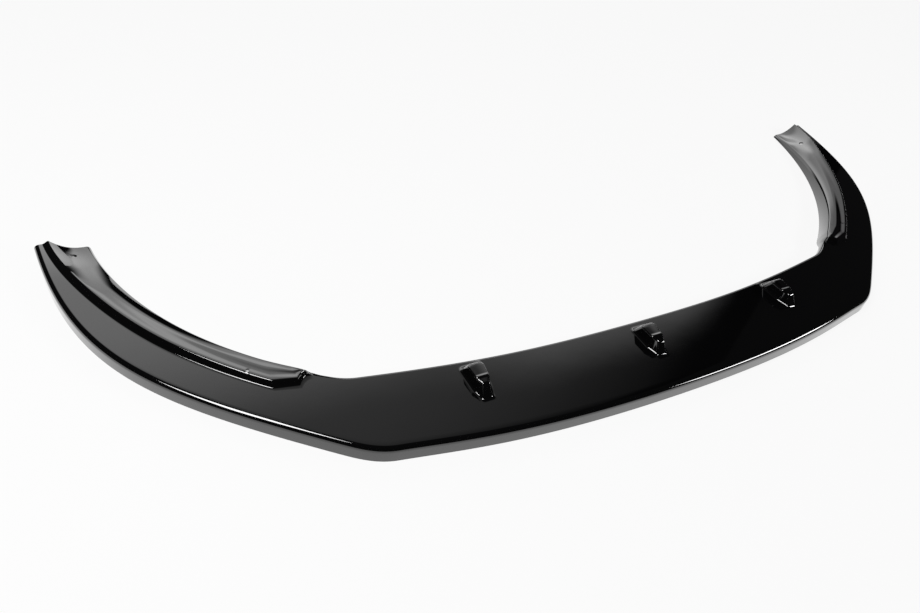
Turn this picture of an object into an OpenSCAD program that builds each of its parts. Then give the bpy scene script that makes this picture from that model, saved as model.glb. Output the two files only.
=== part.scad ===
// Front splitter lip: one sheet, thermoformed over a male mould, that bolts under a front bumper.
// X runs across the car, +Y towards the rear, Z up, with the lip's bottom edge at Z = 0.
// The plan is drawn with its foremost point at Y = 0 and then centred on its own depth.

/* [Overall size] */
// Width across the two wing tips
overall_width = 1740; // [1500:10:1900]
// Depth from the foremost point of the lip to the wing tips
overall_depth = 600; // [560:2:700]
// Height of the flat blade above the lip's bottom edge
lip_height = 25; // [20:1:36]
// Thickness of the moulded sheet
sheet_t = 4; // [2.5:0.5:5]

/* [Front edge] */
// Half width of the bowed front edge, up to its rounded corner
front_half = 465; // [420:5:500]
// How far the start of the corner lies behind the foremost point
front_bow = 42; // [30:1:60]
// Direction of the front edge where the corner starts, in degrees
front_angle = 9.6; // [6:0.2:14]
// Width that the rounded corner takes
corner_w = 74; // [50:1:90]
// Depth that the rounded corner takes
corner_d = 39; // [28:1:50]
// Direction of the side edge where the corner ends, in degrees
side_angle = 38; // [34:1:44]
// Direction of the side edge at the wing tip, in degrees
tip_angle = 84; // [78:1:90]
// Radius of the outer top edge
lip_r = 8; // [5:0.5:12]
// Outward draft of the lip over its height
lip_draft = 1; // [0.5:0.5:3]

/* [Rear edge] */
// Depth of the blade on the middle plane
blade_depth = 145; // [120:1:160]
// Half width of the nearly straight rear edge
rear_half = 476; // [440:4:500]
// How far the end of the straight rear edge lies behind its middle
rear_bow = 38; // [28:1:50]
// Direction of the rear edge where the bend starts, in degrees
rear_angle = 9.5; // [6:0.5:14]
// Width that the bend into the wing takes
bend_w = 89; // [70:1:100]
// Depth that the bend into the wing takes
bend_d = 55; // [48:1:68]
// Direction of the wing's inner edge where the bend ends, in degrees
bend_angle = 36.4; // [33:0.2:40]
// Direction of the wing's inner edge at the tip, in degrees
inner_tip_angle = 79.5; // [76:0.5:86]
// Width of the wing tip
tip_w = 80; // [74:1:95]
// How far the tip's inner corner lies ahead of its outer corner
tip_skew = 0; // [0:1:20]
// Depth of the rolled rear edge below the blade
rear_roll = 9; // [8:0.5:14]
// Radius of the inner and rear top edges
inner_r = 5; // [4:0.5:8]
// Inward draft of the inner wall over its full height
inner_draft = 7; // [3:0.5:10]

/* [Raised flange] */
// Height of the raised flange above the blade
flange_rise = 8.5; // [5:0.5:12]
// Plan width of the riser between blade and flange
riser_w = 10; // [8:0.5:14]
// Width from the inner edge to the riser's foot at the wing tip
flange_tip_w = 66; // [60:1:68]
// The same width at its narrowest, part way along the wing
flange_mid_w = 55; // [50:1:62]
// The same width near the front end of the flange
flange_front_w = 72; // [66:1:78]
// The same width at the very nose of the flange
flange_nose_w = 20; // [20:1:24]
// Fall of the flange from its outer ridge to its inner edge, near its nose
flange_fall = 4; // [2:0.5:6]
// Height of the flange's inner edge at the wing tip
tip_edge_z = 6; // [5.5:0.5:9]
// Depth of the shallow groove along the flange
groove_depth = 1.6; // [0.5:0.1:3]

/* [Screw holes] */
// Diameter of the rear screw hole in each wing
rear_hole_d = 10; // [6:0.5:12]
// Diameter of the front screw hole in each wing
front_hole_d = 6.5; // [4:0.5:8]
// Distance of the rear screw hole from the inner edge
rear_hole_in = 30.5; // [28:0.5:36]
// Distance of the front screw hole from the inner edge
front_hole_in = 44.5; // [36:0.5:46]

/* [Fins] */
// Distance between neighbouring fins
fin_pitch = 312; // [240:4:360]
// Distance from the front edge of the blade to the foot of a fin
fin_setback = 62; // [50:1:66]
// Length of a fin at its foot
fin_length = 66; // [56:1:68]
// Height of a fin above the blade
fin_height = 22; // [14:1:30]
// Width of a fin at its rear, measured at the foot
fin_rear_w = 31; // [26:1:40]
// Width of a fin at the crease in its top, measured at the foot
fin_crease_w = 27; // [22:1:32]
// Width of a fin at its nose, measured at the foot
fin_nose_w = 17; // [15:1:20]
// Run of the sloping nose face
fin_nose_run = 15; // [10:1:18]
// Run of the sloping rear face
fin_rear_run = 12; // [8:1:16]
// Draft of a fin's sides, on each side
fin_draft = 2.5; // [1.5:0.5:3.5]
// Radius round the top of a fin
fin_r = 2.5; // [1.5:0.5:3]
// Fall of a fin's top from its crease to its nose
fin_fall = 3; // [1:0.5:5]

/* [Hidden] */
$fn = 48;

// How far the cutting tools reach past what they cut
overrun = 2;
// Bezier handles as shares of the chord that they serve
front_handle_shares = [0.58, 0.21];
round_handle_share = 0.36;
side_handle_shares = [0.46, 0.426];
rear_handle_shares = [0.44, 0.355];
inner_handle_shares = [0.344, 0.351];
// Number of sections along half the front, the corner and a wing
front_steps = 9;
corner_steps = 14;
wing_steps = 24;
// Where along the corner (-1 to 0) the flange ends and reaches its full rise
nose_end_share = -0.33;
nose_full_share = -0.17;
// How fast the flange widens behind its nose
nose_power = 1.25;
// Where along the corner the inner wall starts to deepen and is full
wall_start_share = -0.62;
wall_full_share = -0.08;
// Where along the wing the flange turns to its nose, and is narrowest
turn_share = 0.085;
waist_share = 0.33;
// Shares of a wing's length at which the screw holes lie
rear_hole_shares = [0.951, 0.871];
front_hole_share = 0.148;
// Share of a wing's length between the points that give the drill's direction
probe_share = 0.01;
// Where along the wing the inner edge starts to fall, and how fast it does
fall_start_share = 0.15;
fall_power = 1.3;
// Where along the wing the flange starts to turn into the low pad at the tip
pad_start_share = 0.7;
pad_power = 2.5;
// Where the ridge starts to get lower towards the tip, and by how much
soft_start_share = 0.86;
soft_share = 0.45;
// Width of the groove as a share of the flange's width
groove_share = 0.7;
// Where a fin's crease lies, and how round its nose and rear are in plan
crease_share = 0.42;
nose_round_share = 0.45;
rear_round_share = 0.45;
// Step along a curve that gives its direction
tangent_share = 0.01;
// Shares of the riser's width and of the flange's width at which a section has points
riser_shares = [0, 0.2, 0.4, 0.6, 0.8, 1];
flange_shares = [0.09, 0.2, 0.33, 0.46, 0.6, 0.74, 0.88];
// Shares of the turn from the flange into the inner wall
inner_shares = [0, 0.34, 0.67, 1];

half_w = overall_width / 2;
flange_z = lip_height + flange_rise;
lip_flat = lip_height - lip_r;

function dir(a) = [cos(a), sin(a)];
function mix(a, b, t) = a + (b - a) * t;
function ease(t) = let (c = max(0, min(1, t))) c * c * (3 - 2 * c);
function bezier(a, b, c, d, t) =
    a * pow(1 - t, 3) + 3 * b * t * pow(1 - t, 2) + 3 * c * t * t * (1 - t) + d * pow(t, 3);

// A plan edge from the middle plane to the wing tip: three curves end to end.
function edge(start, bend, turn, tip, angles, first, last) =
    let (
        far = bend + turn,
        round = norm(turn) * round_handle_share,
        wing = norm(tip - far)
    )
    [
        start,
        start + [bend.x * first[0], 0],
        bend - dir(angles[0]) * bend.x * first[1],
        bend,
        bend + dir(angles[0]) * round,
        far - dir(angles[1]) * round,
        far,
        far + dir(angles[1]) * wing * last[0],
        tip - dir(angles[2]) * wing * last[1],
        tip
    ];

outer_edge = edge(
    [0, 0],
    [front_half, front_bow],
    [corner_w, corner_d],
    [half_w, overall_depth],
    [front_angle, side_angle, tip_angle],
    front_handle_shares,
    side_handle_shares
);
inner_edge = edge(
    [0, blade_depth],
    [rear_half, blade_depth + rear_bow],
    [bend_w, bend_d],
    [half_w - tip_w, overall_depth - tip_skew],
    [rear_angle, bend_angle, inner_tip_angle],
    rear_handle_shares,
    inner_handle_shares
);

// Place q runs from -2 on the middle plane, past -1 and 0 at the corner, to 1 at the tip.
function on(points, q) =
    let (k = max(0, min(2, floor(q + 2))), t = q + 2 - k, i = 3 * k)
    bezier(points[i], points[i + 1], points[i + 2], points[i + 3], t);

function heading(points, q) =
    let (d = on(points, min(1, q + tangent_share)) - on(points, max(-2, q - tangent_share)))
    d / norm(d);

// How much longer a square distance becomes when it is measured along the section.
function stretch(points, q) =
    let (
        h = heading(points, q),
        d = on(inner_edge, q) - on(outer_edge, q),
        e = d / norm(d)
    )
    1 / abs(h.x * e.y - h.y * e.x);

// Share of its full width that the flange has reached behind its nose
function nose_share(q) =
    pow(max(0, min(1, (q - nose_end_share) / (turn_share - nose_end_share))), nose_power);

// Width of the flange with its riser, measured from the inner edge along the section.
function flange_w(q) =
    q < turn_share
    ? mix(flange_nose_w, flange_w(turn_share), nose_share(q))
    : q < waist_share
    ? mix(flange_mid_w, flange_front_w, pow((waist_share - q) / waist_share, 2))
    : mix(flange_mid_w, flange_tip_w, pow((q - waist_share) / (1 - waist_share), 2));

function lifted(q) = ease((q - nose_end_share) / (nose_full_share - nose_end_share));

// Rise of the flange's outer ridge above the blade.
function rise(q) =
    flange_rise * lifted(q) * (1 - soft_share * ease((q - soft_start_share) / (1 - soft_start_share)));

// Fall of the flange from its ridge to its inner edge.
function fall(q) =
    nose_share(q) * lifted(q) * mix(
        flange_fall,
        lip_height + rise(1) - tip_edge_z,
        pow(max(0, (q - fall_start_share) / (1 - fall_start_share)), fall_power)
    );

// How far the flange has turned from an even curve into the low pad at the tip.
function pad(q) = ease((q - pad_start_share) / (1 - pad_start_share));

function wall_foot(q) =
    mix(
        lip_height - rear_roll,
        0,
        ease((q - wall_start_share) / (wall_full_share - wall_start_share))
    );

// One section at place q, as rows of [distance from the outer edge, height, offset angle].
// The offset angle says where the sheet's other face lies: 0 below, 90 inwards from the lip.
function section(q) =
    let (
        span = norm(on(inner_edge, q) - on(outer_edge, q)),
        so = stretch(outer_edge, q),
        si = stretch(inner_edge, q),
        up = rise(q),
        foot = wall_foot(q),
        top = lip_height + up,
        down = fall(q),
        p = pad(q),
        edge_z = top - down,
        lean = inner_draft * (edge_z - foot) / flange_z,
        riser_at = span - flange_w(q),
        flange_at = riser_at + riser_w,
        slope = down / max(riser_w, span - lean - inner_r - flange_at),
        start_a = atan(slope * mix(2, 0, p)),
        flange_end = span - (lean + inner_r * (1 - sin(start_a))) * si,
        flat = flange_end - flange_at
    )
    concat(
        [[0, 0, 90]],
        [
            for (a = [90, 67.5, 45, 22.5, 0])
            [(lip_draft + lip_r * (1 - sin(a))) * so, lip_flat + lip_r * cos(a), a]
        ],
        [for (t = riser_shares) [riser_at + riser_w * t, lip_height + up * ease(t), 0]],
        [
            for (t = flange_shares)
            [
                flange_at + flat * t,
                top - down * mix(t * t, 1 - pow(1 - t, pad_power), p)
                    - groove_depth * lifted(q) * (1 - p) * pow(sin(180 * min(1, t / groove_share)), 2),
                -atan(slope * mix(2 * t, pad_power * pow(1 - t, pad_power - 1), p))
            ]
        ],
        [
            for (k = inner_shares)
            let (a = mix(start_a, 90, k))
            [
                span - (lean + inner_r * (1 - sin(a))) * si,
                edge_z - inner_r * (cos(start_a) - cos(a)),
                -a
            ]
        ],
        [[span, foot, -90]]
    );

// The same row moved through the sheet to its other face.
function under(row, q) =
    let (
        s = row[2] > 0 ? stretch(outer_edge, q) : stretch(inner_edge, q),
        low = row[1] - sheet_t * cos(row[2])
    )
    [row[0] + sheet_t * sin(row[2]) * s, max(0, low)];

function place(q, row, side) =
    let (
        o = on(outer_edge, q),
        d = on(inner_edge, q) - o,
        p = o + d / norm(d) * row[0]
    )
    [side * p.x, p.y, row[1]];

// Places of the sections over half the part, without the middle plane.
half_places = concat(
    [for (i = [1:front_steps]) -2 + i / front_steps],
    [for (i = [1:corner_steps]) -1 + i / corner_steps],
    [for (i = [1:wing_steps]) i / wing_steps]
);
half_count = len(half_places);
all_places = concat(
    [for (i = [half_count - 1:-1:0]) [half_places[i], -1]],
    [[-2, 1]],
    [for (q = half_places) [q, 1]]
);

// The shell: every section is a closed loop, top face first and then the underside back.
module shell() {
    loops = [
        for (p = all_places)
        let (rows = section(p[0]), m = len(rows))
        concat(
            [for (r = rows) place(p[0], r, p[1])],
            [for (i = [m - 1:-1:0]) place(p[0], under(rows[i], p[0]), p[1])]
        )
    ];
    n = len(loops[0]);
    m = n / 2;
    last = len(loops) - 1;
    sides = [
        for (i = [0:last - 1], j = [0:n - 1])
        let (k = (j + 1) % n, a = i * n, b = (i + 1) * n)
        each [[a + j, a + k, b + k], [a + j, b + k, b + j]]
    ];
    ends = [
        for (j = [0:m - 2])
        let (k = n - 1 - j, z = last * n)
        each [
            [j, k, k - 1],
            [j, k - 1, j + 1],
            [z + j, z + k - 1, z + k],
            [z + j, z + j + 1, z + k - 1]
        ]
    ];
    polyhedron([for (l = loops) each l], concat(sides, ends), convexity = 6);
}

// Half the outline of a fin from nose to rear, drawn in by a distance and up by a share.
function fin_half(inset, up) =
    let (
        nose_y = fin_nose_run * up + inset,
        rear_y = fin_length - fin_rear_run * up - inset,
        crease_y = fin_length * crease_share,
        nose = fin_nose_w / 2 - fin_draft * up - inset,
        crease = fin_crease_w / 2 - fin_draft * up - inset,
        rear = fin_rear_w / 2 - fin_draft * up - inset
    )
    concat(
        [
            for (a = [0, 45, 90])
            [
                nose * (1 - nose_round_share * (1 - sin(a))),
                nose_y + nose * nose_round_share * (1 - cos(a))
            ]
        ],
        [[crease, crease_y]],
        [
            for (a = [0, 45, 75])
            [
                rear - rear * rear_round_share * (1 - cos(a)),
                rear_y - rear * rear_round_share * (1 - sin(a))
            ]
        ]
    );

// A fin's body between a floor and its rounded top, drawn in all round by a distance.
module fin_body(inset, floor_z, steps) {
    crest = fin_height - inset;
    layers = concat(
        [[floor_z, inset, 0]],
        [[0, inset, 0]],
        [
            for (a = steps)
            [crest - fin_r * (1 - sin(a)), inset + fin_r * (1 - cos(a)), 1]
        ]
    );
    rings = [
        for (l = layers)
        let (half = fin_half(l[1], l[2]), m = len(half))
        [
            for (i = [0:2 * m - 1])
            let (
                p = half[i < m ? i : 2 * m - 1 - i],
                fall = l[2] * fin_fall * max(0, 1 - p.y / (fin_length * crease_share))
            )
            [i < m ? p.x : -p.x, p.y, l[0] - fall]
        ]
    ];
    n = len(rings[0]);
    m = n / 2;
    last = len(rings) - 1;
    walls = [
        for (i = [0:last - 1], j = [0:n - 1])
        let (k = (j + 1) % n, a = i * n, b = (i + 1) * n)
        each [[a + j, b + k, a + k], [a + j, b + j, b + k]]
    ];
    caps = [
        for (j = [0:m - 2])
        let (k = n - 1 - j, z = last * n)
        each [
            [j, k - 1, k],
            [j, j + 1, k - 1],
            [z + j, z + k, z + k - 1],
            [z + j, z + k - 1, z + j + 1]
        ]
    ];
    polyhedron([for (r = rings) each r], concat(walls, caps), convexity = 2);
}

// Depth of the front edge at a given distance from the middle plane
function front_y(x) = lookup(x, [for (i = [0:front_steps]) on(outer_edge, -2 + i / front_steps)]);

module at_fins() {
    for (i = [-1:1])
        translate([i * fin_pitch, front_y(abs(i) * fin_pitch) + fin_setback, lip_height])
            children();
}

// A point of the top face, at a distance from the outer edge.
function face_at(q, s, side) =
    place(q, [s, lookup(s, [for (row = section(q)) [row[0], row[1]]])], side);

// Direction square to the top face, from points on either side of a place.
function face_up(q, s, side, reach) =
    let (
        across = face_at(q, s + reach, side) - face_at(q, s - reach, side),
        along = face_at(q + probe_share, s, side) - face_at(q - probe_share, s, side),
        up = cross(across, along)
    )
    -side * up / norm(up);

// The holes are drilled square to the flange. The rear hole lies a little further forward in the
// right wing than in the left one.
module holes() {
    for (side = [-1, 1])
        for (h = [
            [side < 0 ? rear_hole_shares[0] : rear_hole_shares[1], rear_hole_in, rear_hole_d],
            [front_hole_share, front_hole_in, front_hole_d]
        ])
            let (
                s = norm(on(inner_edge, h[0]) - on(outer_edge, h[0])) - h[1],
                up = face_up(h[0], s, side, h[2] / 2)
            )
            translate(face_at(h[0], s, side))
                rotate([0, acos(up.z), atan2(up.y, up.x)])
                    cylinder(d = h[2], h = sheet_t * 6, center = true);
}

module splitter_lip() {
    color([0.03, 0.03, 0.035])
        translate([0, -overall_depth / 2, 0])
            difference() {
                union() {
                    shell();
                    at_fins() fin_body(0, -sheet_t / 2, [0, 45, 90]);
                }
                at_fins() fin_body(sheet_t * 3 / 4, -sheet_t - overrun, [0, 90]);
                holes();
            }
}

splitter_lip();
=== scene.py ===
# %% [markdown]
# # Gloss black front splitter lip
# The real part is one sheet of black plastic. It is heated, drawn over a mould and trimmed, so
# every edge is rounded by the sheet itself and the underside follows the top. Here the packed
# part is loaded as the fixed frame, and a smoother skin of the same form is modelled over it.

# %% Load the frame
from math import atan, atan2, cos, degrees, floor, pi, radians, sin
import bmesh
import bpy
from mathutils import Matrix, Vector
from mathutils.bvhtree import BVHTree


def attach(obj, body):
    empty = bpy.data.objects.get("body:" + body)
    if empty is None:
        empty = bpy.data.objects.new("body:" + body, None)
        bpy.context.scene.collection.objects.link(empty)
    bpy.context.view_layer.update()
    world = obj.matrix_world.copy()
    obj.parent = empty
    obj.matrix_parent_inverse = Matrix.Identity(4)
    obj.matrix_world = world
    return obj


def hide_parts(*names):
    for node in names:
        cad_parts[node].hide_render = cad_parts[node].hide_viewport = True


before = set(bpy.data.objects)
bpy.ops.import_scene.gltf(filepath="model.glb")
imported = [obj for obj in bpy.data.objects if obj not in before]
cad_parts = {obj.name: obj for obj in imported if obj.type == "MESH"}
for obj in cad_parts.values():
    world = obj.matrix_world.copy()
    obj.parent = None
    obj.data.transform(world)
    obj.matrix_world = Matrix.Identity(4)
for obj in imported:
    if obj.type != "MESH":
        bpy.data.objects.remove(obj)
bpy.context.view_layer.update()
MM = 0.001
MERGE = 0.002 * MM

# %% [markdown]
# The photograph looks down on the part from its front left, with the camera rolled a little.
# Mirrored points on the two wings gave the place and the angles, so the camera is written as
# three angles and a place, and its axes are worked out from them.

# %% Place the camera
PHOTO_W, PHOTO_H = 920, 613
focal_px = 700
yaw, pitch, roll = radians(33.13), radians(43.66), radians(-10.85)
camera_place = Vector((-722.8, -729.4, 816.7)) * MM

ahead = Vector((sin(yaw) * cos(pitch), cos(yaw) * cos(pitch), -sin(pitch)))
level_right = Vector((cos(yaw), -sin(yaw), 0))
level_down = ahead.cross(level_right)
right = cos(roll) * level_right + sin(roll) * level_down
down = cos(roll) * level_down - sin(roll) * level_right

camera = bpy.data.objects.new("camera", bpy.data.cameras.new("camera"))
bpy.context.collection.objects.link(camera)
camera.data.sensor_width = 36
camera.data.lens = focal_px / PHOTO_W * camera.data.sensor_width
camera.data.clip_start, camera.data.clip_end = 0.05, 50
axes = Matrix((right, -down, -ahead)).transposed()
camera.matrix_world = Matrix.Translation(camera_place) @ axes.to_4x4()
bpy.context.scene.camera = camera
print("lens, mm:", round(camera.data.lens, 2))

# %% [markdown]
# Both plan edges of the lip are smooth curves that bend once: a bowed front, a rounded corner
# and a long sweep to the wing tip. Three Bezier curves end to end give each of them, with the
# handles as shares of the chord, so the curves stay tangent where they meet.

# %% Draw the plan edges
depth = 600.0
half_width = 870.0


def direction(degrees):
    return Vector((cos(radians(degrees)), sin(radians(degrees))))


def plan_edge(start_y, bend, turn, tip, angles, first, last):
    start, bend, turn, tip = Vector((0, start_y)), Vector(bend), Vector(turn), Vector(tip)
    far = bend + turn
    round_handle = turn.length * 0.36
    wing = (tip - far).length
    return [
        start,
        start + Vector((bend.x * first[0], 0)),
        bend - direction(angles[0]) * bend.x * first[1],
        bend,
        bend + direction(angles[0]) * round_handle,
        far - direction(angles[1]) * round_handle,
        far,
        far + direction(angles[1]) * wing * last[0],
        tip - direction(angles[2]) * wing * last[1],
        tip,
    ]


outer_edge = plan_edge(
    0, (465, 42), (74, 39), (half_width, depth), (9.6, 38, 84), (0.58, 0.21), (0.46, 0.426)
)
inner_edge = plan_edge(
    145, (476, 183), (89, 55), (790, depth), (9.5, 36.4, 79.5), (0.44, 0.355), (0.344, 0.351)
)


def along(points, q):
    """A point on a plan edge: q runs from -2 in the middle to 1 at the wing tip."""
    k = max(0, min(2, floor(q + 2)))
    t, i = q + 2 - k, 3 * k
    a, b, c, d = points[i : i + 4]
    return a * (1 - t) ** 3 + b * 3 * t * (1 - t) ** 2 + c * 3 * t * t * (1 - t) + d * t**3


def heading(points, q):
    return (along(points, min(1, q + 0.01)) - along(points, max(-2, q - 0.01))).normalized()


def stretch(points, q):
    """How much longer a square distance is when it is measured along the section."""
    h = heading(points, q)
    across = (along(inner_edge, q) - along(outer_edge, q)).normalized()
    return 1 / abs(h.x * across.y - h.y * across.x)


print("wing tip width, mm:", round((outer_edge[-1] - inner_edge[-1]).length, 1))

# %% [markdown]
# A section through the sheet runs from the foot of the outer lip, over its rounded top, across
# the flat blade, up the riser to the raised flange with its shallow groove, and down the inner
# wall, which leans and then steepens to its foot. Each row of the section also says where the
# sheet's other face lies, so the same rows give the underside.

# %% Describe the section
sheet = 4.0
lip_height, lip_radius, lip_draft = 25.0, 8.0, 1.0
rise_height, riser_width, groove = 8.5, 10.0, 0.9
inner_radius, inner_draft, wall_lean, rear_roll = 5.0, 7.0, 52.0, 9.0
nose_at, full_at, turn_at, waist_at = -0.33, -0.17, 0.085, 0.33
nose_width, turn_width, waist_width, tip_width = 14.0, 72.0, 55.0, 66.0
nose_curve, nose_riser_share = 1.7, 0.65
tip_edge, front_fall = 6.0, 4.0
knee_in_share, knee_down_share = 0.8, 0.42


def ease(t):
    t = max(0.0, min(1.0, t))
    return t * t * (3 - 2 * t)


def mix(a, b, t):
    return a + (b - a) * t


def nose_share(q):
    return max(0.0, min(1.0, (q - nose_at) / (turn_at - nose_at))) ** nose_curve


def flange_width(q):
    if q < turn_at:
        return mix(nose_width, flange_width(turn_at), nose_share(q))
    if q < waist_at:
        return mix(waist_width, turn_width, ((waist_at - q) / waist_at) ** 2)
    return mix(waist_width, tip_width, ((q - waist_at) / (1 - waist_at)) ** 2)


def riser_run(q):
    return riser_width * mix(nose_riser_share, 1, nose_share(q))


def lifted(q):
    return ease((q - nose_at) / (full_at - nose_at))


def rise(q):
    return rise_height * lifted(q) * (1 - 0.45 * ease((q - 0.86) / 0.14))


def fall(q):
    """How far the flange falls from its outer ridge to its inner edge."""
    far = lip_height + rise(1) - tip_edge
    share = max(0, (q - 0.15) / 0.85) ** 1.3
    return nose_share(q) * lifted(q) * mix(front_fall, far, share)


def spread(first, last, count):
    return [mix(first, last, i / (count - 1)) for i in range(count)]


def section(q):
    """Rows of (distance from the outer edge, height, angle of the sheet's thickness)."""
    span = (along(inner_edge, q) - along(outer_edge, q)).length
    so, si = stretch(outer_edge, q), stretch(inner_edge, q)
    top = lip_height + rise(q)
    foot = mix(lip_height - rear_roll, 0, ease((q + 0.62) / 0.54))
    pad = ease((q - 0.7) / 0.3)
    edge = top - fall(q)
    lean = inner_draft * (edge - foot) / (lip_height + rise_height)
    riser = span - flange_width(q)
    flange = riser + riser_run(q)
    slope = fall(q) / max(riser_width, span - lean - inner_radius - flange)
    start = degrees(atan(slope * mix(2, 0, pad)))
    flange_end = span - (lean + inner_radius * (1 - sin(radians(start)))) * si
    blade = (lip_draft + lip_radius) * so
    rows = [(0, 0, 90), (lip_draft * 0.5 * so, (lip_height - lip_radius) / 2, 90)]
    for a in spread(90, 0, 10):
        s = (lip_draft + lip_radius * (1 - sin(radians(a)))) * so
        rows.append((s, lip_height - lip_radius * (1 - cos(radians(a))), a))
    for t in spread(0, 1, 16)[1:-1]:
        rows.append((mix(blade, riser, t), lip_height, 0))
    for t in spread(0, 1, 13):
        rows.append((riser + riser_run(q) * t, lip_height + rise(q) * ease(t), 0))
    for t in spread(0, 1, 21)[1:-1]:
        dip = groove * lifted(q) * (1 - pad) * sin(pi * min(1, t / 0.7)) ** 2
        drop = fall(q) * mix(t * t, 1 - (1 - t) ** 2.5, pad)
        tilt = slope * mix(2 * t, 2.5 * (1 - t) ** 1.5, pad)
        rows.append((mix(flange, flange_end, t), top - drop - dip, -degrees(atan(tilt))))
    for a in spread(start, wall_lean, 7):
        s = span - (lean + inner_radius * (1 - sin(radians(a)))) * si
        z = edge - inner_radius * (cos(radians(start)) - cos(radians(a)))
        rows.append((s, z, -a))
    knee_s, knee_z = mix(s, span, knee_in_share), mix(z, foot, knee_down_share)
    for t in spread(0, 1, 7)[1:]:
        wall_s = mix(mix(s, knee_s, t), mix(knee_s, span, t), t)
        wall_z = mix(mix(z, knee_z, t), mix(knee_z, foot, t), t)
        rows.append((wall_s, wall_z, -mix(wall_lean, 90, t)))
    return rows


def under(row, q):
    s, z, a = row
    side = stretch(outer_edge if a > 0 else inner_edge, q)
    return s + sheet * sin(radians(a)) * side, max(0, z - sheet * cos(radians(a)))


def place(q, side, s, z):
    start = along(outer_edge, q)
    point = start + (along(inner_edge, q) - start).normalized() * s
    return Vector((side * point.x, point.y - depth / 2, z)) * MM


stations = [(q, 1) for q in spread(-2, -1, 41) + spread(-1, 0, 57)[1:] + spread(0, 1, 97)[1:]]
stations = [(q, -1) for q, side in reversed(stations[1:])] + stations
rows_count = len(section(-2))
print("sections:", len(stations), "rows in each:", rows_count)

# %% [markdown]
# The skin starts as a flat grid, with one column of vertices for each section. Its columns are
# wrapped round the sections, over the top and back along the underside, and at both ends an
# extra column folds the two faces together. Merging the vertices that meet closes the skin into
# one body of clean four-sided faces, which a gloss surface needs to reflect without ripples.

# %% Wrap a grid round the sections
skin = bmesh.new()
around = 2 * rows_count + 1
made = bmesh.ops.create_grid(
    skin, x_segments=len(stations) + 1, y_segments=around - 1, size=1
)["verts"]
made.sort(key=lambda v: (round(v.co.x, 5), round(v.co.y, 5)))
folded = [stations[0]] + stations + [stations[-1]]
for i, (q, side) in enumerate(folded):
    rows = section(q)
    top = [place(q, side, *row[:2]) for row in rows]
    low = [place(q, side, *under(row, q)) for row in rows]
    if i in (0, len(folded) - 1):
        top = low = [(a + b) / 2 for a, b in zip(top, low)]
    for j, co in enumerate(top + low[::-1] + top[:1]):
        made[i * around + j].co = co
bmesh.ops.remove_doubles(skin, verts=skin.verts, dist=MERGE)
bmesh.ops.recalc_face_normals(skin, faces=skin.faces)
print("skin vertices:", len(skin.verts))

# %% [markdown]
# The fins and the screw holes need rings of their own, so a window is cut in the sheet where each
# one stands. Triangles fill the space between the window and a fin's ring: on the flat blade they
# lie in one plane, so they leave no mark in the reflections. Round a hole, where the flange is
# curved, the window and the ring are bridged instead.

# %% Cut windows and fill them round a ring
upper_layer = {f: f.calc_center_median() for f in skin.faces if f.normal.z > 0.3}
lower_layer = {f: f.calc_center_median() for f in skin.faces if f.normal.z < -0.3}
widest_face = 25 * MM
print("faces that look up:", len(upper_layer), "and down:", len(lower_layer))


def window(layer, centre, reach_x, reach_y):
    """Deletes a layer's faces round a place and gives the edges of the opening."""
    limit = max(reach_x, reach_y) + widest_face
    near = [f for f in layer if (layer[f] - centre).xy.length < limit]
    gone = set()
    for f in near:
        low = [min(v.co[k] for v in f.verts) - centre[k] for k in range(2)]
        high = [max(v.co[k] for v in f.verts) - centre[k] for k in range(2)]
        if low[0] < reach_x and high[0] > -reach_x and low[1] < reach_y and high[1] > -reach_y:
            gone.add(f)
    crossed = True
    while crossed:
        rim = [e for f in gone for e in f.edges if sum(g in gone for g in e.link_faces) == 1]
        ends = [v for e in rim for v in e.verts]
        crossed = {f for v in ends if ends.count(v) > 2 for f in v.link_faces if f in layer}
        gone |= crossed
    for f in gone:
        layer.pop(f)
    bmesh.ops.delete(skin, geom=list(gone), context="FACES")
    return rim


def ring(points):
    made = bmesh.ops.create_circle(skin, segments=len(points), radius=1)["verts"]
    made.sort(key=lambda v: atan2(v.co.y, v.co.x))
    for v, p in zip(made, points):
        v.co = p
    return made, list({e for v in made for e in v.link_edges})


def fill(rim, edges):
    """Fills the flat space between two loops. Where a gap is left, a tipped view is tried."""
    for attempt in range(12):
        tipped = Vector((sin(attempt) * attempt, cos(attempt) * attempt, 100))
        made = bmesh.ops.triangle_fill(skin, edges=rim + edges, use_beauty=True, normal=tipped)
        faces = [f for f in made["geom"] if isinstance(f, bmesh.types.BMFace)]
        lines = list({e for f in faces for e in f.edges} - set(rim + edges))
        whole = all(len(e.link_faces) == 2 for e in rim + lines)
        if whole and all(len(e.link_faces) == 1 for e in edges):
            print("filled at attempt", attempt + 1)
            return
        bmesh.ops.delete(skin, geom=faces, context="FACES_ONLY")
        bmesh.ops.delete(skin, geom=lines, context="EDGES")
    print("a gap is left")


def grow(edges, verts, points):
    """Extrudes a ring and moves the new ring to its places."""
    made = bmesh.ops.extrude_edge_only(skin, edges=edges)["geom"]
    new = {}
    for v in made:
        if isinstance(v, bmesh.types.BMVert):
            new[min(range(len(verts)), key=lambda i: (verts[i].co - v.co).length)] = v
    order = [new[i] for i in range(len(verts))]
    for v, p in zip(order, points):
        v.co = p
    return order, [e for e in made if isinstance(e, bmesh.types.BMEdge)]


# %% [markdown]
# Each fin is drawn as one outline, from its narrow nose to its square rear, and every ring is
# that outline drawn in by a distance and lifted. The first rings lie on the blade and make the
# fillet at the foot, the next ones the drafted wall, and the last ones the rounded top. A soft
# crease crosses the top, and from there it falls a little further towards the nose.

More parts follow.
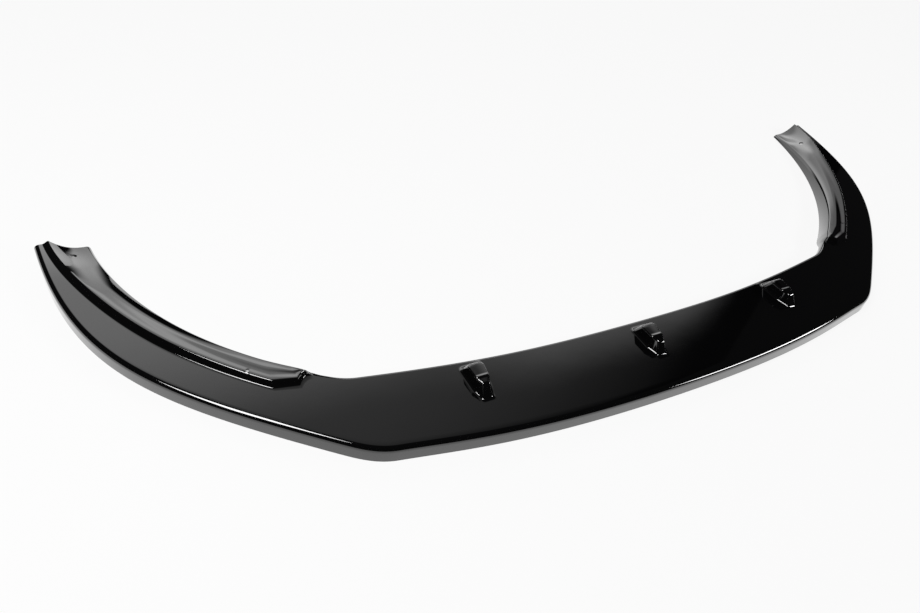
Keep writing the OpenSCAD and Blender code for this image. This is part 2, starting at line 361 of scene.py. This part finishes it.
# %% Raise the fins
fin_length, fin_height, fin_setback, fin_pitch = 66.0, 22.0, 62.0, 312.0
nose_run, rear_run, fin_draft = 13.5, 12.0, 2.5
nose_half, crease_half, rear_half, corner_share = 8.5, 13.5, 15.5, 0.45
crease_y, crease_reach, crease_lift, fin_fall = 0.42 * fin_length, 4.0, 0.7, 1.0
top_radius, foot_radius, foot_margin, top_margin = 3.0, 3.5, 1.5, 1.0
fin_wall, hollow_radius = 3.0, 1.5
fin_reach = (22.5, 39.5)


def fin_outline(inset, lift):
    """Points round a fin, from the nose up its right side and back down its left side."""
    nose_y = nose_run * lift + inset
    rear_y = fin_length - rear_run * lift - inset
    nose = nose_half - fin_draft * lift - inset
    crease = crease_half - fin_draft * lift - inset
    rear = rear_half - fin_draft * lift - inset
    half_side = []
    corner = nose * corner_share
    for a in spread(0, 90, 10):
        x = nose - corner * (1 - sin(radians(a)))
        half_side.append((x, nose_y + corner * (1 - cos(radians(a)))))
    corner = rear * corner_share
    start_y, end_y = half_side[-1][1], rear_y - corner
    for t in spread(0, 1, 36)[1:-1]:
        y = mix(start_y, end_y, t)
        if y < crease_y:
            x = mix(nose, crease, ease((y - start_y) / (crease_y - start_y)) ** 0.8)
        else:
            x = mix(crease, rear, (y - crease_y) / (end_y - crease_y))
        half_side.append((x, y))
    for a in spread(0, 90, 10):
        x = rear - corner * (1 - cos(radians(a)))
        half_side.append((x, end_y + corner * sin(radians(a))))
    half_side.append((0, rear_y))
    return half_side + [(-x, y) for x, y in reversed(half_side[:-1])]


def crown(y):
    """How far a fin's top lies under its crease, where it folds towards the nose."""
    towards_nose = max(0.0, 1 - y / crease_y)
    return fin_fall * towards_nose + crease_lift * ease(abs(y - crease_y) / crease_reach)


def fin_rings(wall, floor_z):
    """Rings of a fin's outer face, or of the hollow under it when there is a wall."""
    height = fin_height - wall
    radius = hollow_radius if wall else top_radius
    rings = []
    if not wall:
        rings.append((-foot_radius - foot_margin, 0))
        for a in spread(0, 80, 6):
            out = foot_radius * (1 - sin(radians(a)))
            rings.append((-out, foot_radius * (1 - cos(radians(a)))))
    else:
        rings.append((wall, floor_z))
    for a in spread(0, 90, 7):
        round_in, round_down = radius * (1 - cos(radians(a))), radius * (1 - sin(radians(a)))
        rings.append((wall + round_in, height - round_down))
    placed = []
    for inset, z in rings:
        lift = max(0.0, z / height)
        points = []
        for x, y in fin_outline(inset, lift):
            points.append((x, y, z - crown(y) * lift))
        placed.append(points)
    near = min(p[1] for p in points) + top_margin
    far = max(p[1] for p in points) - top_margin
    middle = [min(max(y, near), far) for x, y, z in points]
    return placed + [[(0, y, height - crown(y)) for y in middle]]


def front_y(x):
    """Depth of the front edge at a distance from the middle plane, found by halving."""
    near, far = -2.0, -1.0
    for _ in range(30):
        q = (near + far) / 2
        near, far = (q, far) if along(outer_edge, q).x < x else (near, q)
    return along(outer_edge, near).y


for number in (-1, 0, 1):
    fin_y = front_y(abs(number) * fin_pitch) + fin_setback - depth / 2
    fin_at = Vector((number * fin_pitch, fin_y, lip_height))
    for wall, floor_z, layer in ((0.0, 0.0, upper_layer), (fin_wall, -sheet, lower_layer)):
        middle = (fin_at + Vector((0, fin_length / 2, 0))) * MM
        rim = window(layer, middle, fin_reach[0] * MM, fin_reach[1] * MM)
        rings = [
            [(fin_at + Vector(p)) * MM for p in points] for points in fin_rings(wall, floor_z)
        ]
        loop, edges = ring(rings[0])
        fill(rim, edges)
        for points in rings[1:]:
            loop, edges = grow(edges, loop, points)
print("faces with the fins:", len(skin.faces))

# %% [markdown]
# The screw holes are drilled through the raised flange after moulding, square to its face, so
# that a screw's head lies flat. Points of the top face on either side of a hole give the
# drill's direction. Rays sent along the drill meet each layer at the points of the hole's rim.
# Each rim is bridged to its window, and the two rims to each other make the wall of the hole.

# %% Drill the screw holes
hole_places = [
    (-1, 0.951, 30.5, 10.0),
    (1, 0.871, 30.5, 10.0),
    (-1, 0.148, 44.5, 6.5),
    (1, 0.148, 44.5, 6.5),
]
rim_points, drill_reach, rim_margin, above = 32, 15.0, 0.8, 60.0
surface = BVHTree.FromBMesh(skin)


def face_at(q, side, s):
    high = place(q, side, s, above)
    return surface.ray_cast(high, Vector((0, 0, -1)))[0]


for side, q, inwards, across in hole_places:
    s = (along(inner_edge, q) - along(outer_edge, q)).length - inwards
    inward = face_at(q, side, s + across / 2) - face_at(q, side, s - across / 2)
    rearward = face_at(q + 0.01, side, s) - face_at(q - 0.01, side, s)
    drill = (inward.cross(rearward) * -side).normalized()
    centre, turn = face_at(q, side, s), drill.to_track_quat("Z", "Y")
    rims = []
    for layer, way in ((upper_layer, 1), (lower_layer, -1)):
        points = []
        for i in range(rim_points):
            a = 2 * pi * i / rim_points
            arm = turn @ Vector((cos(a), sin(a), 0)) * (across / 2 * MM)
            start = centre + arm + drill * way * drill_reach * MM
            points.append(surface.ray_cast(start, -way * drill)[0])
        middle = sum(points, Vector()) / len(points)
        reach = (across / 2 + rim_margin) * MM
        rim = window(layer, middle, reach, reach)
        loop, edges = ring(points)
        bmesh.ops.bridge_loops(skin, edges=rim + edges)
        rims += edges
    bmesh.ops.bridge_loops(skin, edges=rims)
    print("hole drilled at", [round(c / MM, 1) for c in centre])
print("faces with the holes:", len(skin.faces))

# %% [markdown]
# A last count shows whether every edge has a face on both sides, so that the skin is closed.
# The normals are then made to point outwards, and only the sharp trimmed edges and the rims of
# the holes are left unsmoothed.

# %% Close and shade the skin
bmesh.ops.remove_doubles(skin, verts=skin.verts, dist=MERGE)
bmesh.ops.recalc_face_normals(skin, faces=skin.faces)
smooth_limit = radians(38)
open_edges = [e for e in skin.edges if len(e.link_faces) != 2]
print("open edges:", len(open_edges), "volume, cm3:", round(skin.calc_volume() * 1e6, 1))

for face in skin.faces:
    face.smooth = True
for edge in skin.edges:
    edge.smooth = len(edge.link_faces) == 2 and edge.calc_face_angle(0) < smooth_limit

mesh = bpy.data.meshes.new("lip_skin")
skin.to_mesh(mesh)
skin.free()
lip = bpy.data.objects.new("lip_skin", mesh)
bpy.context.collection.objects.link(lip)
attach(lip, "root")
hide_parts("splitter_lip")

# %% [markdown]
# Shader maths is easier to read as an expression. This small class wraps a node's output, so
# that adding or multiplying two of them makes the Math node.

# %% Wrap the sockets
class Value:
    def __init__(self, tree, socket):
        self.tree, self.socket = tree, socket

    def node(self, kind, settings=None, inputs=None, output=0):
        made = self.tree.nodes.new(kind)
        for name, setting in (settings or {}).items():
            setattr(made, name, setting)
        for key, given in (inputs or {}).items():
            if isinstance(given, Value):
                self.tree.links.new(given.socket, made.inputs[key])
            else:
                made.inputs[key].default_value = given
        return Value(self.tree, made.outputs[output] if made.outputs else None)

    def math(self, operation, first, second=0.0):
        return self.node("ShaderNodeMath", {"operation": operation}, {0: first, 1: second})

    def __add__(self, other):
        return self.math("ADD", self, other)

    def __radd__(self, other):
        return self.math("ADD", other, self)

    def __sub__(self, other):
        return self.math("SUBTRACT", self, other)

    def __rsub__(self, other):
        return self.math("SUBTRACT", other, self)

    def __mul__(self, other):
        return self.math("MULTIPLY", self, other)

    def __rmul__(self, other):
        return self.math("MULTIPLY", other, self)

    def smooth(self, low, high):
        """Runs from 0 at low to 1 at high, with soft ends."""
        return self.node(
            "ShaderNodeMapRange",
            {"interpolation_type": "SMOOTHSTEP"},
            {"Value": self, "From Min": low, "From Max": high},
        )


def start_tree(tree):
    tree.nodes.clear()
    return Value(tree, None)


# %% [markdown]
# The moulded face is a deep gloss black. What breaks its perfection on a real part is a very
# slight waviness left by the mould, some dust and fine wiping marks, and a duller trimmed
# edge. Noise at those scales goes into roughness and a faint bump, and the base stays black.

# %% Make the gloss black plastic
plastic = bpy.data.materials.new("gloss_black_plastic")
plastic.use_nodes = True
n = start_tree(plastic.node_tree)
object_place = n.node("ShaderNodeTexCoord", output="Object")
height = n.node("ShaderNodeSeparateXYZ", inputs={0: object_place}, output=2)
cut_edge = 1 - height.smooth(0.0001, 0.0004)


def noise(scale, detail, roughness=0.5, at=object_place):
    return n.node(
        "ShaderNodeTexNoise",
        {"noise_dimensions": "3D"},
        {"Vector": at, "Scale": scale, "Detail": detail, "Roughness": roughness},
    )


haze = noise(9, 4).smooth(0.42, 0.72)
dust = noise(1400, 2).smooth(0.74, 0.82)
long_place = n.node(
    "ShaderNodeMapping", inputs={"Vector": object_place, "Scale": (30.0, 420.0, 90.0)}
)
wiping = noise(1, 3, at=long_place).smooth(0.60, 0.74)
roughness = 0.045 + haze * 0.03 + wiping * 0.025 + dust * 0.12 + cut_edge * 0.4
wave = n.node(
    "ShaderNodeBump",
    inputs={"Height": noise(14, 1) + noise(55, 1) * 0.12, "Strength": 0.05, "Distance": 0.004},
)
grit = n.node(
    "ShaderNodeBump",
    inputs={
        "Height": noise(2600, 2),
        "Strength": cut_edge * 0.5,
        "Distance": 0.0004,
        "Normal": wave,
    },
)
tint = n.node(
    "ShaderNodeMix",
    {"data_type": "RGBA"},
    {"Factor": dust * 0.25, "A": (0.0022, 0.0022, 0.0024, 1), "B": (0.05, 0.05, 0.05, 1)},
    2,
)
gloss = n.node(
    "ShaderNodeBsdfPrincipled",
    inputs={
        "Base Color": tint,
        "Roughness": roughness,
        "IOR": 1.52,
        "Coat Weight": 1.0,
        "Coat Roughness": 0.03,
        "Normal": grit,
    },
)
n.node("ShaderNodeOutputMaterial", inputs={"Surface": gloss})
mesh.materials.append(plastic)

# %% [markdown]
# The part lies on a seamless white table. The floor is a plain white sheet that shows white to
# the camera and in the reflections, and still takes the soft shadow of the part.

# %% Lay the floor
ground = bmesh.new()
bmesh.ops.create_grid(ground, x_segments=1, y_segments=1, size=6)
floor_mesh = bpy.data.meshes.new("floor")
ground.to_mesh(floor_mesh)
ground.free()
floor_sheet = bpy.data.objects.new("floor", floor_mesh)
bpy.context.collection.objects.link(floor_sheet)

white = bpy.data.materials.new("white_table")
white.use_nodes = True
w = start_tree(white.node_tree)
seen = w.node("ShaderNodeLightPath", output=0)
mirrored = w.node("ShaderNodeLightPath", output=3)
through = w.node("ShaderNodeLightPath", output=6)
shown = w.math("MAXIMUM", w.math("MAXIMUM", seen, mirrored), through)
matte = w.node("ShaderNodeBsdfDiffuse", inputs={"Color": (0.8, 0.8, 0.8, 1)})
bright = w.node("ShaderNodeEmission", inputs={"Color": (1, 1, 1, 1), "Strength": 1.0})
mixed = w.node("ShaderNodeMixShader", inputs={0: shown * 0.9, 1: matte, 2: bright})
w.node("ShaderNodeOutputMaterial", inputs={"Surface": mixed})
floor_mesh.materials.append(white)

# %% [markdown]
# A gloss black part shows mostly the room. Here the room is dark, with one tall glowing screen
# far behind the part, brightest low down and on the left. It shows in the flat blade as a grey
# that fades to the right. Two soft lamps, above the left wing and beyond the right front, draw
# the white lines along the rounded edges.

# %% Set up the glowing screen
screen_x, screen_y, screen_reach, screen_top = 2.9, 4.0, 5.0, 13.0
sheet_of_light = bmesh.new()
bmesh.ops.create_grid(sheet_of_light, x_segments=1, y_segments=1, size=1)
for v in sheet_of_light.verts:
    height_at = screen_top / 2 * (1 + v.co.y)
    v.co = Vector((screen_x + v.co.x * screen_reach, screen_y, height_at))
screen_mesh = bpy.data.meshes.new("glowing_screen")
sheet_of_light.to_mesh(screen_mesh)
sheet_of_light.free()
screen = bpy.data.objects.new("glowing_screen", screen_mesh)
bpy.context.collection.objects.link(screen)

glow = bpy.data.materials.new("screen_glow")
glow.use_nodes = True
g = start_tree(glow.node_tree)
spot = g.node("ShaderNodeTexCoord", output="Object")
across = g.node("ShaderNodeSeparateXYZ", inputs={0: spot}, output=0)
up = g.node("ShaderNodeSeparateXYZ", inputs={0: spot}, output=2)
sides = across.smooth(-1.95, -1.35) * (1 - across.smooth(6.0, 7.3))
sides = sides * (1 - across.smooth(-0.1, 0.5) * (1 - up.smooth(1.0, 1.8)))
sides = sides * (1 - across.smooth(4.0, 5.5) * (1 - up.smooth(4.5, 5.8)) * 0.5)
level = up - across.smooth(1.8, 4.2) * 0.8
broad = (1 - level.smooth(3.7, 6.15)) * 0.92
band = up.smooth(1.9, 2.3) * (1 - up.smooth(2.7, 3.3)) * 0.9
haze_above = (1 - across.smooth(0.0, 8.0)) * (1 - up.smooth(5.5, 13.0)) * 0.3
lit = g.node(
    "ShaderNodeEmission",
    inputs={"Color": (1, 1, 1, 1), "Strength": sides * (broad + band + haze_above)},
)
g.node("ShaderNodeOutputMaterial", inputs={"Surface": lit})
screen_mesh.materials.append(glow)

# %% [markdown]
# The world itself is almost black to the part, and white to the camera, for a view that looks
# past the table.

# %% Light the studio
world = bpy.data.worlds.new("studio")
bpy.context.scene.world = world
world.use_nodes = True
r = start_tree(world.node_tree)
direct = r.node("ShaderNodeLightPath", output=0)
room = r.node(
    "ShaderNodeBackground", inputs={"Color": (1, 1, 1, 1), "Strength": 0.01 + direct * 0.99}
)
r.node("ShaderNodeOutputWorld", inputs={"Surface": room})


def lamp(name, place_at, aim, size, power):
    data = bpy.data.lights.new(name, "AREA")
    data.shape, data.size, data.size_y, data.energy = "RECTANGLE", size[0], size[1], power
    made = bpy.data.objects.new(name, data)
    bpy.context.collection.objects.link(made)
    made.location = place_at
    made.rotation_mode = "QUATERNION"
    made.rotation_quaternion = (Vector(aim) - Vector(place_at)).to_track_quat("-Z", "Y")
    return made


lamp("lamp_left", (-1.45, -0.1, 1.75), (-0.5, -0.15, 0), (0.75, 0.9), 30)
lamp("lamp_right", (2.0, -1.45, 1.15), (0.3, -0.3, 0), (1.3, 0.4), 26)

# %% Finish
bpy.context.scene.view_settings.view_transform = "Standard"
